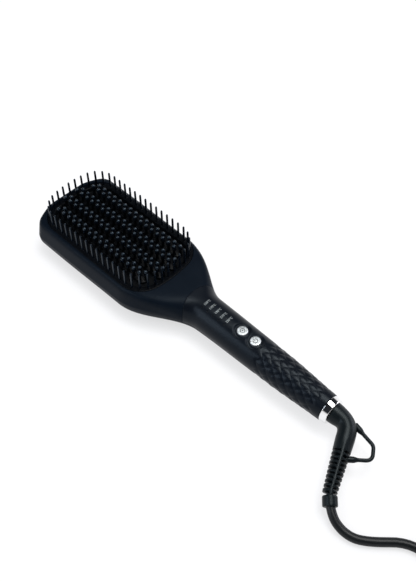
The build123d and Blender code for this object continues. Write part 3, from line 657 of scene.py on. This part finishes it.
def pad_outline(grow, count):
    """Evenly spaced points of the bristle pad's plan, from the middle of its tip."""
    end, corner = PAD_END_RADIUS, PAD_CORNER_RADIUS
    centre_x = PAD_HALF_LENGTH - end
    corner_y = PAD_HALF_WIDTH - corner
    corner_x = centre_x + sqrt((end - corner) ** 2 - corner_y ** 2)
    meet = np.arctan2(corner_y, corner_x - centre_x)
    path = []
    for angle in np.linspace(0, meet, 40):
        path.append((centre_x + (end + grow) * cos(angle), (end + grow) * sin(angle)))
    for angle in np.linspace(meet, pi / 2, 60)[1:]:
        path.append((corner_x + (corner + grow) * cos(angle), corner_y + (corner + grow) * sin(angle)))
    quarter = np.array(path)
    whole = np.concatenate([
        quarter, quarter[::-1] * (-1, 1), quarter[1:] * (-1, -1), quarter[::-1][:-1] * (1, -1)])
    whole = np.concatenate([whole, whole[:1]])
    arc = running(np.hypot(*np.diff(whole, axis=0).T))
    wanted = (np.arange(count) / count + 0.5) % 1.0 * arc[-1]
    return resample(whole, arc, wanted) + (PAD_X, 0)


def make_shell(node, stations, side, lead, material, tools):
    """One shell with rounded seams, quilting and button dishes, less its tools."""
    outer = shell_grid(stations, side, 0.0, lead)
    inner = shell_grid(inner_stations(stations), side, WALL, lead)
    fall = rounded_edge(side * (outer[..., 2] - PARTING))
    if lead:
        seam = np.hypot(outer[..., 0] - SEAM_X - SEAM_RADIUS, outer[..., 1]) - SEAM_RADIUS
        before_centre = outer[..., 0] < SEAM_X + SEAM_RADIUS
        fall = np.maximum(fall, rounded_edge(np.where(before_centre, np.abs(seam), EDGE)))
    fall = np.maximum(fall, rounded_edge(RING_X - GAP - outer[..., 0]))
    fall = np.maximum(fall, quilt(outer, polar(outer)))
    outer = outer - outward(outer) * fall[..., None]
    outer[..., 2] = np.maximum(outer[..., 2] - dishes(outer), 0.0)
    mesh = shell_mesh(f"{node}_form", outer, inner, lead >= 0)
    piece = remake(node, mesh, material)
    cut(piece, tools)
    keep_curvature(piece.data, outer)


def make_shells():
    head = np.concatenate([nose_stations(), spaced(TIP_X + NOSE, NECK_START, 1.4)[1:]])
    neck = spaced(NECK_START, SEAM_X - EDGE, 0.9)[1:]
    before_seam = [SEAM_X - reach for reach in EDGE_LINES[-2::-1]]
    after_seam = [SEAM_X + reach for reach in EDGE_LINES]
    before_ring = [RING_X - GAP - reach for reach in EDGE_LINES[-2::-1]]
    quilted = GRIP_START - 1, GRIP_STOP + 1
    dished = 47.0               # start of the fine stations
    inside, above = 20, 40      # heights of the cutters' ends
    tail = spaced(quilted[1], RING_X - GAP - EDGE, 0.8)[1:]

    window = Builder()
    plan = pad_outline(0.0, 480)
    lip = pad_outline(0.35, 480)
    window.rings([[(x, y, z) for x, y in shape] for shape, z in (
        (plan, inside), (plan, BODY_TOP - 0.85), (lip, BODY_TOP - 0.25), (lip, above))])
    front_x = np.concatenate([head, neck, before_seam])
    make_shell("front_shell", front_x, 1, 1, SHELL, [window.mesh("tool")])

    cover_x = np.concatenate([
        after_seam, spaced(SEAM_X + EDGE, dished, 0.8)[1:], spaced(dished, quilted[0], 0.4)[1:],
        spaced(*quilted, 0.45)[1:], tail, before_ring])
    tools = [drum(BUTTON_RADIUS + 0.2, inside, above, x, 0) for x in BUTTONS]
    tools += [drum(INDICATOR_RADIUS, inside, above, x, INDICATOR_Y, 32) for x in INDICATORS]
    make_shell("handle_cover", cover_x, 1, -1, GRIP, tools)

    back_x = np.concatenate([
        head, spaced(NECK_START, NECK_END, 1.2)[1:], spaced(NECK_END, quilted[0], 1.6)[1:],
        spaced(*quilted, 0.5)[1:], tail, before_ring])
    wells = []
    for x, y in SCREWS:
        underside = float(body_form(np.array(x))[1])
        wells.append(drum(WELL_RADIUS, -2, underside + WELL_FLOOR, x, y, 40))
    make_shell("back_shell", back_x, -1, 0, BACK, wells)


make_shells()


# ---- pad
def make_pad():
    """The bristle frame with a foot round each bristle, the outer bristles and the combs."""
    profile = rounded([(-0.15, FRAME_BOTTOM), (-0.15, FRAME_TOP), (-4.6, FRAME_TOP),
                       (-5.6, PLATE_TOP), (-5.6, FRAME_BOTTOM)], 0.7, 6)
    outlines = [[(x, y, height) for x, y in pad_outline(grow, 420)] for grow, height in profile]
    outlines.append(outlines[0])
    ring = Builder()
    ring.rings(outlines, False)
    pins = Builder()
    foot = [(1.35, FRAME_TOP - 0.3), (1.35, FRAME_TOP + 0.05), (1.2, FRAME_TOP + 0.3),
            (0.95, FRAME_TOP + 0.42), (0.8, FRAME_TOP + 0.42)]
    top = BRISTLE_TOP
    bristle = [(0.90, FRAME_TOP - 2.5), (0.90, FRAME_TOP + 0.6), (0.86, 34.0), (0.83, 40.0),
               (0.82, top - 1.6), (0.80, top - 1.1), (0.72, top - 0.62), (0.56, top - 0.28),
               (0.32, top - 0.07), (0.10, top)]
    for x, y in pad_outline(-BRISTLE_INSET, BRISTLES):
        ring.lathe(foot, upright_at(x, y), 20)
        pins.lathe(bristle, upright_at(x, y), 14)
    remake("bristle_frame", ring.mesh("bristle_frame_form", 40), FRAME_NYLON)
    remake("edge_bristles", pins.mesh("edge_bristles_form", 50), BRISTLE)
    for number, steps in enumerate(COMB_STEPS, 1):
        make_comb(number, (number - 2.5) * COMB_SPACING, steps)


def make_comb(number, across, steps):
    """A rail with two staggered rows of teeth and their caps; steps is the teeth in a row."""
    half = (steps - 1) / 2 * TOOTH_PITCH - 0.4
    rail_radius, foot, low = 2.9, PLATE_TOP + 2.0, CAP_TOP - 4.6
    outline = []
    for k in range(49):
        angle = -pi / 2 + pi * k / 48
        outline.append((half + rail_radius * cos(angle), rail_radius * sin(angle)))
    outline += [(-x, -y) for x, y in outline]
    rail = Builder()
    rings = []
    for inset, height in ((0, 0), (0, 1.5), (0.12, 1.82), (0.45, 2.0)):
        ring = []
        for x, y in outline:
            scale = 1 - inset / rail_radius
            end = half if x > 0 else -half
            ring.append((PAD_X + end + (x - end) * scale, across + y * scale, PLATE_TOP + height))
        rings.append(ring)
    rail.rings(rings)
    tooth = [(1.45, foot - 0.4), (1.4, foot + 0.1), (1.15, foot + 0.7), (1.0, foot + 2.0),
             (0.92, low + 0.1)]
    cap = [(0.95, low), (1.35, low + 0.1), (1.45, low + 0.35), (1.50, low + 1.2),
           (1.50, low + 2.4), (1.46, low + 3.1), (1.34, low + 3.65), (1.12, low + 4.1),
           (0.82, low + 4.4), (0.46, low + 4.56), (0.14, low + 4.6)]
    caps = Builder()
    for side in (-1, 1):
        for step in range(steps):
            x = PAD_X + (step - (steps - 1) / 2 + side / 4) * TOOTH_PITCH
            place = upright_at(x, across + side * ROW_OFFSET)
            rail.lathe(tooth, place, 16)
            caps.lathe(cap, place, 20)
    remake(f"heated_comb_{number}", rail.mesh("comb", 45), CERAMIC)
    remake(f"comb_caps_{number}", caps.mesh("caps", 45), CAP)


make_pad()


# ---- buttons and figures
def make_buttons():
    """Each button is a turned cap on a flange, with a raised symbol in a shallow recess."""
    edge, flange, stem = 0.55, 4.9, 1.4
    icon_inner, icon_outer = 1.35, 1.85
    for name, x in zip(("mode", "power"), BUTTONS):
        body = f"{name}_button"
        top = float(body_form(np.array(x))[2]) - 0.1
        under = top - WALL - 1.4
        cap = Builder()
        profile = [(flange, under - 0.8), (flange, under), (BUTTON_RADIUS, under),
                   (BUTTON_RADIUS, top - edge)]
        profile += [(BUTTON_RADIUS - edge * (1 - cos(a)), top - edge + edge * sin(a))
                    for a in np.linspace(0.15, pi / 2, 8)]
        profile += [(2.95, top), (2.85, top - 0.06), (2.75, top - 0.16), (0.3, top - 0.1)]
        cap.lathe(profile, upright_at(x, 0), 72)
        cap.lathe([(stem, 22.7), (stem, under - 0.7)], upright_at(x, 0), 24)
        remake(body, cap.mesh("button", 30), SILVER, body)
        icon = Builder()
        low, high = top - 0.18, top - 0.07
        outline = ((icon_inner, low), (icon_inner, high), (icon_outer, high), (icon_outer, low))
        if name == "mode":
            arc = [tau * k / 48 for k in range(48)]
            icon.rings([[(x + r * cos(a), r * sin(a), z) for a in arc]
                        for r, z in outline + outline[:1]], False)
            icon.lathe([(0.55, low), (0.55, high)], upright_at(x, 0), 32)
        else:
            bend = np.linspace(-2.45, 2.45, 45)
            icon.rings([[(x + r * cos(a), r * sin(a), z) for r, z in outline] for a in bend])
            icon.rings([[(x - 2.05, -0.25, z), (x - 0.35, -0.25, z), (x - 0.35, 0.25, z),
                         (x - 2.05, 0.25, z)] for z in (low, high)])
        add_piece(f"{name}_icon", icon.mesh("icon", 30), ICON, body)


def cover_height(x, y):
    """Height of the handle's top surface above a plan point."""
    half, _, high, waist, _ = body_form(np.asarray(x, float))
    drop = 1 - np.sqrt(np.maximum(1 - (np.abs(y) / half) ** GRIP_POWER, 0.0))
    return high - (high - waist) * drop


FIGURE_SIZE, PRINT_RISE, PRINT_DEPTH = 2.4, 0.03, 0.05


def make_figures():
    """Generic temperatures, read across the handle and raised by the thickness of a print."""
    for x, words in zip(INDICATORS, ("150", "170", "190", "210", "230")):
        curve = bpy.data.curves.new("figure", "FONT")
        curve.body = words + "°C"
        curve.size = FIGURE_SIZE
        curve.align_x = curve.align_y = "CENTER"
        curve.offset = 0.02
        text = add_object("figure", curve)
        mesh = evaluated(text)
        bpy.data.objects.remove(text)
        work = bmesh.new()
        work.from_mesh(mesh)
        long_edges = [edge for edge in work.edges if edge.calc_length() > 0.5]
        bmesh.ops.subdivide_edges(work, edges=long_edges, cuts=2)
        made = bmesh.ops.extrude_face_region(work, geom=work.faces[:])
        raised = {v for v in made["geom"] if isinstance(v, bmesh.types.BMVert)}
        for vertex in work.verts:
            place_x, place_y = x - vertex.co.y, vertex.co.x
            height = float(cover_height(place_x, place_y))
            height += PRINT_RISE if vertex in raised else -PRINT_DEPTH
            vertex.co = Vector((place_x, place_y, height)) * MM
        bmesh.ops.recalc_face_normals(work, faces=work.faces)
        work.to_mesh(mesh)
        work.free()
        add_piece(f"figures_{words}", mesh, PRINT)


make_buttons()
make_figures()


# ---- ring and sleeve
def make_ring():
    ring = Builder()
    profile = rounded([(7.2, 0.0), (9.85, 0.0), (9.2, RING_WIDTH), (7.2, RING_WIDTH)], 0.55, 6)
    place = aimed((RING_X, 0, AXIS_Z), (1, 0, 0))
    ring.lathe(profile + profile[:1], place, 128, False)
    remake("end_ring", ring.mesh("end_ring", 25), CHROME)


SLEEVE_PATH = [(END_X + 0.3, 0, AXIS_Z), (END_X + 12.7, 0, AXIS_Z),
               (END_X + 32.3, -43.2, AXIS_Z - 5.95), (END_X + 38.0, -49.4, AXIS_Z - 8.0)]
LOOP_PATH = [(END_X + 15.4, 2.6, AXIS_Z - 0.65), (END_X + 33.0, -0.6, AXIS_Z - 1.55),
             (END_X + 38.6, -8.9, AXIS_Z - 2.85), (END_X + 25.7, -19.8, AXIS_Z - 2.95)]


def arc_path(points, radii, step):
    """Points of straight runs joined by arcs, step apart, and their places along the path."""
    points = [Vector(p) for p in points]
    out = [points[0]]
    for before, corner, after, radius in zip(points, points[1:], points[2:], radii):
        first, second = (corner - before).normalized(), (after - corner).normalized()
        half = first.angle(second) / 2
        reach = radius * np.tan(half)
        start, stop = corner - first * reach, corner + second * reach
        out += corner_curve(start, corner, stop, 16)
    out.append(points[-1])
    line = np.array([tuple(p) for p in out])
    arc = running(np.linalg.norm(np.diff(line, axis=0), axis=1))
    wanted = np.linspace(0, arc[-1], int(arc[-1] / step) + 1)
    return resample(line, arc, wanted), wanted


def swept(form, line, radius_at, segments, roll=0.0):
    """Sweeps a section whose radius depends on the place along and round the line."""
    heading = unit(np.gradient(line, axis=0))
    rings = []
    angles = np.linspace(0, tau, segments, endpoint=False)
    for index, (centre, ahead) in enumerate(zip(line, heading)):
        side = unit(np.cross(ahead, (0.0, 0.0, 1.0)))
        top = np.cross(side, ahead)
        radii = radius_at(index, angles)[:, None]
        up, out = np.cos(angles + roll)[:, None], np.sin(angles + roll)[:, None]
        rings.append(centre + radii * (up * top + out * side))
    form.rings(rings)


def make_sleeve():
    """Sleeve with an elbow, a slotted strain relief with a spine, an end collar and the loop."""
    entry, elbow, end = 7.3, 6.3, 4.65      # radii
    collar, slot_pitch, slot_depth, slot_half = 6.6, 3.1, 2.5, 0.72
    line, arc = arc_path(SLEEVE_PATH, [12.0, 6.0], 0.25)
    total = arc[-1]
    relief_start, relief_stop = 22.0, total - collar        # places along the sleeve
    slots = [relief_stop - 1.2 - slot_pitch * k for k in range(10)]

    def radius_at(index, angles):
        place = arc[index]
        base = mix(entry, elbow, smooth(place, 0.0, 10.0))
        into_relief = (place - relief_start) / (relief_stop - relief_start)
        base = mix(base, end, np.clip(into_relief, 0.0, 1.0))
        if place > relief_stop:
            base += 0.22 * smooth(place, relief_stop, relief_stop + 0.6)
        left = total - place
        if left < 0.8:
            base -= 0.8 - sqrt(max(0.64 - (0.8 - left) ** 2, 0.0))
        radii = np.full_like(angles, base)
        from_top = np.abs((angles + pi) % tau - pi)
        slot_ends = 1 - smooth(np.abs(from_top - pi / 2), 1.30, 1.43)
        for slot in slots:
            across = np.exp(-((place - slot) / slot_half) ** 6)
            radii -= slot_depth * across * slot_ends
        spine = 0.25 * np.exp(-(from_top / 0.20) ** 2)
        spine *= smooth(place, relief_start, relief_start + 6.0)
        return radii + spine * (1 - smooth(place, relief_stop - 1, relief_stop))

    sleeve = Builder()
    swept(sleeve, line, radius_at, 160, roll=-0.10)
    mesh = sleeve.mesh("cord_sleeve_form", 40)
    remake("cord_sleeve", mesh, RUBBER, "swivel")

    line, arc = arc_path(LOOP_PATH, [5.0, 5.0], 0.4)

    def rod(index, angles):
        to_end = min(arc[index], arc[-1] - arc[index])
        flare = 0.8 * (1 - smooth(to_end, 4.5, 8.5))
        return np.full_like(angles, 1.3 + flare)

    loop = Builder()
    swept(loop, line, rod, 24)
    mesh = loop.mesh("hanging_loop_form", 50)
    remake("hanging_loop", mesh, RUBBER, "swivel")


make_ring()
make_sleeve()


# ---- cord and plug
CORD_ROUTE = [(END_X + 40.7, -52.4, 6.8), (END_X + 53.1, -54.8, 3.1),
              (END_X + 65.5, -51.0, 3.1), (END_X + 89.0, -27.5, 3.1)]
COIL_CENTRE = (END_X + 128.5, 10.0)
COIL_RADIUS, COIL_TURNS, TURN_POINTS = 44.5, 7.4, 14
TAIL_ROUTE = [(END_X + 150.5, 48.4, 9.0), (END_X + 128.5, 61.2, 7.3), (END_X + 102.5, 61.5, 6.85)]
PLUG_ENTRY = (END_X + 108.5, 61.5, 6.85)


def coil_points(start_angle):
    """Control points of a neat coil, four turns wide and two layers high."""
    pitch = 2 * CORD_RADIUS
    points = []
    for k in range(int(COIL_TURNS * TURN_POINTS) + 1):
        turn = k / TURN_POINTS
        angle = start_angle + tau * turn
        across = min(turn, 3.0) if turn < 4 else max(7.0 - turn, 0.0)
        radius = COIL_RADIUS - pitch * across
        height = CORD_RADIUS + 0.1 + pitch * min(max((turn - 3.6) / 0.8, 0.0), 1.0)
        points.append((COIL_CENTRE[0] + radius * cos(angle),
                       COIL_CENTRE[1] + radius * sin(angle), height))
    return points


def make_cord():
    """One line from inside the sleeve, over the floor and round the coil, to the plug."""
    mouth = np.array(SLEEVE_PATH[3])
    socket = mouth - 6.0 * unit(mouth - np.array(SLEEVE_PATH[2]))
    across, along = COIL_CENTRE[0] - CORD_ROUTE[-1][0], COIL_CENTRE[1] - CORD_ROUTE[-1][1]
    gap = sqrt(across ** 2 + along ** 2)
    spread = pi / 2 - np.arctan2(COIL_RADIUS, sqrt(gap ** 2 - COIL_RADIUS ** 2))
    meeting = np.arctan2(along, across) + pi + spread
    points = [tuple(socket), *CORD_ROUTE, *coil_points(meeting + 0.12), *TAIL_ROUTE]
    curve = bpy.data.curves.new("mains_cord_line", "CURVE")
    curve.dimensions = "3D"
    spline = curve.splines.new("NURBS")
    spline.points.add(len(points) - 1)
    for target, point in zip(spline.points, points):
        target.co = (point[0] * MM, point[1] * MM, point[2] * MM, 1.0)
    spline.order_u = 3
    spline.use_endpoint_u = True
    spline.resolution_u = 8
    curve.bevel_depth = CORD_RADIUS * MM
    curve.bevel_resolution = 6
    curve.use_fill_caps = True
    return add_piece("mains_cord_line", curve, CORD_RUBBER, "swivel",
                     ["mains_cord", "cord_coil", "plug_tail"]), socket


def make_plug():
    """Flat plug body that widens from its entry, with a ribbed neck round the cord."""
    entry = Vector(PLUG_ENTRY)
    body = Builder()
    rings = []
    stations = [(-9.0, 5.2, 5.6), (-10.0, 6.2, 6.2), (-14.0, 9.6, 6.7), (-19.0, 13.8, 6.85),
                (-24.0, 16.9, 6.85), (-28.0, 17.65, 6.85), (-43.6, 17.65, 6.85), (-44.6, 17.2, 6.5),
                (-45.0, 16.4, 5.9)]
    squareness = 2 / 5.0
    for offset, half_width, half_height in stations:
        ring = []
        for k in range(64):
            c, s = cos(tau * k / 64), sin(tau * k / 64)
            y = half_width * np.sign(c) * abs(c) ** squareness
            z = half_height * np.sign(s) * abs(s) ** squareness
            ring.append((entry.x + offset, entry.y + y, entry.z + z))
        rings.append(ring)
    body.rings(rings)
    neck = [(CORD_RADIUS, 0.0)]
    for k in range(41):
        groove = 0.7 if k % 8 in (3, 4, 5) and k < 36 else 0.0
        neck.append((mix(4.2, 5.6, k / 40) - groove, k / 40 * 14))
    body.lathe(neck, aimed(entry, (-1, 0, 0)), 40)
    mesh = body.mesh("plug_body_form", 40)
    return remake("plug_body", mesh, PLUG_RUBBER, "swivel")


cord, socket = make_cord()
plug = make_plug()


# ---- camera, floor, light
CAMERA_PLACE = (0.2659143, -0.2507876, 0.4796832)
CAMERA_RIGHT, CAMERA_BACK = (0.7153, 0.6988, 0.0006), (0.4366, -0.4475, 0.7805)
CAMERA_LENS, SENSOR_WIDTH = 50.278, 36.0
FLOOR_RADIUS, FLOOR_DROP = 30.0, 0.0001
SHADOW_SHARE = (0.185, 0.183, 0.192)    # colour of the part of the floor that takes shadow
FLOOR_GLOW = 0.815                      # light that the shown floor gives by itself
PAINTED_SHADOW_REACH, PAINTED_SHADOW_DEPTH = 0.012, 0.26      # reach and depth of the painted contact shadow, which dims the floor's glow round what stands on it
PLAIN_FLOOR = (0.72, 0.73, 0.75)        # the floor as the object's own light sees it
LIGHT_SKY = ((0.05, (0.85, 0.88, 0.95)), (0.45, (0.22, 0.235, 0.26)))
SHOWN_SKY = ((0.20, (1.0, 1.0, 1.0)), (0.42, (0.02, 0.022, 0.026)))


def make_camera():
    """The camera of the photograph, as solved from its bristle tips."""
    data = bpy.data.cameras.new("camera")
    data.lens = CAMERA_LENS
    data.sensor_width = SENSOR_WIDTH
    data.clip_start, data.clip_end = 0.01, 100.0
    camera = add_object("camera", data)
    back = Vector(CAMERA_BACK).normalized()
    up = back.cross(Vector(CAMERA_RIGHT)).normalized()
    turn = Matrix((up.cross(back), up, back)).transposed().to_4x4()
    camera.matrix_world = Matrix.Translation(CAMERA_PLACE) @ turn
    bpy.context.scene.camera = camera


def shown_rays(tree):
    """1 for the rays that show the backdrop: seen directly, mirrored or through glass."""
    path = add_node(tree, "ShaderNodeLightPath")
    total = path.outputs["Is Camera Ray"]
    for name in ("Is Glossy Ray", "Is Transmission Ray"):
        total = add_node(tree, "ShaderNodeMath", {0: total, 1: path.outputs[name]},
                         operation="ADD", use_clamp=True).outputs[0]
    return total


def make_floor():
    """White paper: it glows by itself, has a painted contact shadow that dims its glow close to what
    stands on it, and takes soft shadow.
    """
    work = bmesh.new()
    bmesh.ops.create_circle(work, cap_ends=True, radius=FLOOR_RADIUS, segments=96)
    mesh = bpy.data.meshes.new("floor")
    work.to_mesh(mesh)
    work.free()
    floor = add_object("floor", mesh)
    floor.location.z = -FLOOR_DROP
    material = bpy.data.materials.new("floor_paper")
    material.use_nodes = True
    tree = material.node_tree
    tree.nodes.clear()
    # painted contact shadow: ambient occlusion dims the floor's own glow round the object
    painted_shadow = add_node(tree, "ShaderNodeAmbientOcclusion", {"Distance": PAINTED_SHADOW_REACH}, samples=8)
    strength = add_node(tree, "ShaderNodeMapRange", {
        "Value": painted_shadow.outputs["AO"], "To Min": FLOOR_GLOW * (1 - PAINTED_SHADOW_DEPTH),
        "To Max": FLOOR_GLOW})
    glow = add_node(tree, "ShaderNodeEmission", {
        "Color": (1, 1, 1, 1), "Strength": strength.outputs["Result"]})
    lit = add_node(tree, "ShaderNodeBsdfDiffuse", {"Color": (*SHADOW_SHARE, 1)})
    paper = add_node(tree, "ShaderNodeAddShader", {0: lit.outputs[0], 1: glow.outputs[0]})
    plain = add_node(tree, "ShaderNodeBsdfDiffuse", {"Color": (*PLAIN_FLOOR, 1)})
    choose = add_node(tree, "ShaderNodeMixShader", {
        0: shown_rays(tree), 1: plain.outputs[0], 2: paper.outputs[0]})
    add_node(tree, "ShaderNodeOutputMaterial", {0: choose.outputs[0]})
    mesh.materials.append(material)


def sky(tree, stops):
    """A background whose colour follows the height of the ray."""
    coordinate = add_node(tree, "ShaderNodeTexCoord")
    split = add_node(tree, "ShaderNodeSeparateXYZ", {0: coordinate.outputs["Generated"]})
    ramp = add_node(tree, "ShaderNodeValToRGB", {0: split.outputs["Z"]})
    for element, (position, colour) in zip(ramp.color_ramp.elements, stops):
        element.position = position
        element.color = (*colour, 1)
    return add_node(tree, "ShaderNodeBackground", {"Color": ramp.outputs[0]}).outputs[0]


def make_world():
    """One sky lights the object, and another is the backdrop that is seen and mirrored."""
    world = bpy.data.worlds.new("studio")
    bpy.context.scene.world = world
    world.use_nodes = True
    tree = world.node_tree
    choose = add_node(tree, "ShaderNodeMixShader", {
        0: shown_rays(tree), 1: sky(tree, LIGHT_SKY), 2: sky(tree, SHOWN_SKY)})
    tree.links.new(choose.outputs[0], tree.nodes["World Output"].inputs[0])


def area_light(name, place, aim, size, power, colour):
    data = bpy.data.lights.new(name, "AREA")
    data.shape = "RECTANGLE"
    data.size, data.size_y = size
    data.energy = power
    data.color = colour
    light = add_object(name, data)
    light.location = place
    light.rotation_euler = (Vector(aim) - Vector(place)).to_track_quat("-Z", "Y").to_euler()


make_camera()
make_floor()
make_world()
area_light("top_box", (0.10, 0.30, 1.3), (0.0, 0.0, 0.0), (0.9, 0.7), 17.0, (1.0, 1.0, 0.98))
area_light("rim_box", (0.45, 0.85, 0.32), (0.0, 0.0, 0.02), (0.6, 0.4), 3.0, (0.88, 0.88, 1.0))
area_light("side_strip", (-0.50, -0.85, 0.75), (0.0, 0.0, 0.02), (0.30, 0.9), 5.0, (0.80, 0.89, 1.0))
bpy.context.scene.view_settings.view_transform = "Standard"
